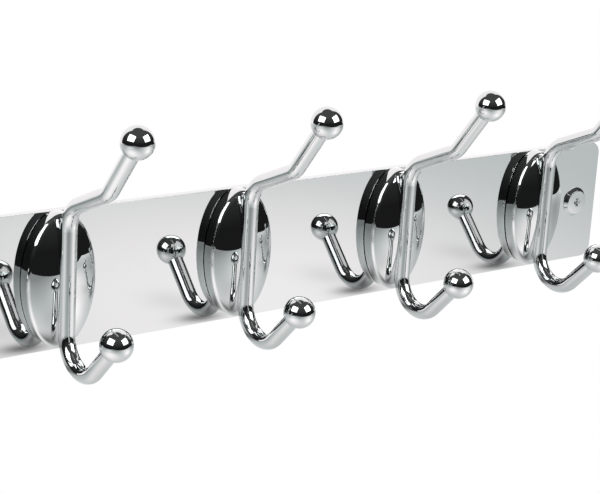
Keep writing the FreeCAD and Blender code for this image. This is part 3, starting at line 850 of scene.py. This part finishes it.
def soft_fade(nodes, widths):
    """From 1 in the middle of a soft patch down to 0, widths being how many widths away."""
    return nodes.math("EXPONENT", nodes.math("MULTIPLY", nodes.math("MULTIPLY", widths, widths), -0.5))


def shadow(name, wide, depth):
    """Clear except for a soft dark middle, that wide along X and Y and that dark."""
    material, tree, nodes = new_material(name, shader_used=False)
    place = nodes.add("ShaderNodeTexCoord").outputs["Object"]
    scaled = nodes.add("ShaderNodeVectorMath", {0: place, 1: (1 / wide[0], 1 / wide[1], 0)},
                       operation="MULTIPLY").outputs[0]
    widths = nodes.add("ShaderNodeVectorMath", {0: scaled}, operation="LENGTH").outputs["Value"]
    share = nodes.math("MULTIPLY", soft_fade(nodes, widths), depth)
    clear = nodes.add("ShaderNodeBsdfTransparent").outputs[0]
    dark = nodes.add("ShaderNodeEmission", {"Strength": FOOT_SHADOW_LEVEL}).outputs[0]
    mixed = nodes.add("ShaderNodeMixShader", {0: share, 1: clear, 2: dark}).outputs[0]
    tree.links.new(mixed, tree.nodes["Material Output"].inputs["Surface"])
    return material


def floor_level(nodes):
    """The floor's light from place to place: an even slope and the soft pools."""
    place = nodes.add("ShaderNodeTexCoord").outputs["Object"]
    slope = nodes.add("ShaderNodeVectorMath", {0: place, 1: (FLOOR_LEVEL_PER_X, FLOOR_LEVEL_PER_Y, 0)},
                      operation="DOT_PRODUCT").outputs["Value"]
    total = nodes.math("ADD", slope, FLOOR_LEVEL)
    for centre, width, level in POOLS:
        away = nodes.add("ShaderNodeVectorMath", {0: place, 1: (*centre, FLOOR_HEIGHT)},
                         operation="DISTANCE").outputs["Value"]
        fade = soft_fade(nodes, nodes.math("DIVIDE", away, width))
        total = nodes.math("MULTIPLY_ADD", fade, level, total)
    return nodes.math("MINIMUM", nodes.math("MAXIMUM", total, FLOOR_LEAST), FLOOR_MOST)


def stage_mesh(name, points, faces, material):
    """Put a part of the studio in the scene."""
    mesh = bpy.data.meshes.new(name)
    mesh.from_pydata(points, [], faces)
    mesh.materials.append(material)
    thing = bpy.data.objects.new(name, mesh)
    bpy.context.scene.collection.objects.link(thing)
    return thing


def make_studio():
    """White floor, a curved backdrop, the hooks' soft shadows, two softboxes and the dark room."""
    corners = [(x, y, FLOOR_HEIGHT) for x, y in (
        (FLOOR_LEFT, FLOOR_FRONT), (FLOOR_RIGHT, FLOOR_FRONT),
        (FLOOR_RIGHT, FLOOR_BACK), (FLOOR_LEFT, FLOOR_BACK))]
    stage_mesh("floor", corners, [(0, 1, 2, 3)], glowing("pale_floor", floor_level))

    points = []
    for step in range(BACKDROP_STEPS + 1):
        turned = BACKDROP_TURN + BACKDROP_SPREAD * (2 * step / BACKDROP_STEPS - 1)
        for height in (FLOOR_HEIGHT, BACKDROP_TOP):
            points.append(studio_point(turned, BACKDROP_DISTANCE, height))
    faces = [(2 * step, 2 * step + 1, 2 * step + 3, 2 * step + 2) for step in range(BACKDROP_STEPS)]
    backdrop = stage_mesh("backdrop", points, faces, glowing("pale_backdrop", lambda nodes: BACKDROP_LEVEL))
    backdrop.visible_camera = False

    for kind, (place, wide, depth) in FOOT_SHADOWS.items():
        shade = shadow(f"{kind}_shadow", wide, depth)
        across, along = (FOOT_SHADOW_REACH * width for width in wide)
        corners = [(-across, -along, 0), (across, -along, 0), (across, along, 0), (-across, along, 0)]
        for number in HOOKS:
            card = stage_mesh(f"{kind}_shadow_{number}", corners, [(0, 1, 2, 3)], shade)
            card.location = place + Vector((hook_x(number), 0, 0))
            card.visible_camera = False

    for name, turned, rise in BOXES:
        light = bpy.data.lights.new(name, "AREA")
        light.shape = "RECTANGLE"
        light.size = BOX_WIDTH
        light.size_y = BOX_HEIGHT
        light.energy = BOX_POWER
        lamp = bpy.data.objects.new(name, light)
        lamp.location = studio_point(turned, BOX_DISTANCE * math.cos(rise), BOX_DISTANCE * math.sin(rise))
        lamp.rotation_euler = lamp.location.to_track_quat("Z", "Y").to_euler()
        lamp.visible_camera = False
        bpy.context.scene.collection.objects.link(lamp)

    world = bpy.data.worlds.new("studio")
    bpy.context.scene.world = world
    world.use_nodes = True
    nodes = Nodes(world.node_tree)
    background = world.node_tree.nodes["Background"]
    direction = nodes.add("ShaderNodeTexCoord").outputs["Generated"]
    up = nodes.add("ShaderNodeSeparateXYZ", {0: direction}).outputs["Z"]
    dark = nodes.add("ShaderNodeMapRange", {
        "Value": up, "From Min": 0.0, "From Max": DARK_HIGH_FROM, "To Min": DARK_LOW, "To Max": DARK_HIGH})
    seen = nodes.add("ShaderNodeLightPath").outputs["Is Camera Ray"]
    level = nodes.add("ShaderNodeMix", {0: seen, 2: dark.outputs[0], 3: 1.0}, data_type="FLOAT")
    world.node_tree.links.new(level.outputs[0], background.inputs["Strength"])
    background.inputs["Color"].default_value = WHITE


make_studio()

# ---------------------------------------------------------------- camera

AIM = Vector((0.0095, -0.0085, -0.0019))
CAMERA_DISTANCE = 0.6853
CAMERA_AZIMUTH = math.radians(38.67)
CAMERA_ELEVATION = math.radians(16.38)
CAMERA_ROLL = math.radians(3.82)
CAMERA_SENSOR = 36
CAMERA_LENS = 108
CAMERA_SHIFT = -0.0713
CAMERA_NEAR = 0.01

camera_data = bpy.data.cameras.new("camera")
camera_data.sensor_width = CAMERA_SENSOR
camera_data.lens = CAMERA_LENS
camera_data.shift_x = CAMERA_SHIFT
camera_data.clip_start = CAMERA_NEAR
camera = bpy.data.objects.new("camera", camera_data)
bpy.context.scene.collection.objects.link(camera)
tilt = Matrix.Rotation(math.pi / 2 - CAMERA_ELEVATION, 4, "X") @ Matrix.Rotation(CAMERA_ROLL, 4, "Z")
aimed = Matrix.Rotation(-CAMERA_AZIMUTH, 4, "Z") @ tilt
camera.matrix_world = Matrix.Translation(AIM + CAMERA_DISTANCE * aimed.col[2].to_3d()) @ aimed
bpy.context.scene.camera = camera
bpy.context.scene.view_settings.view_transform = "Standard"
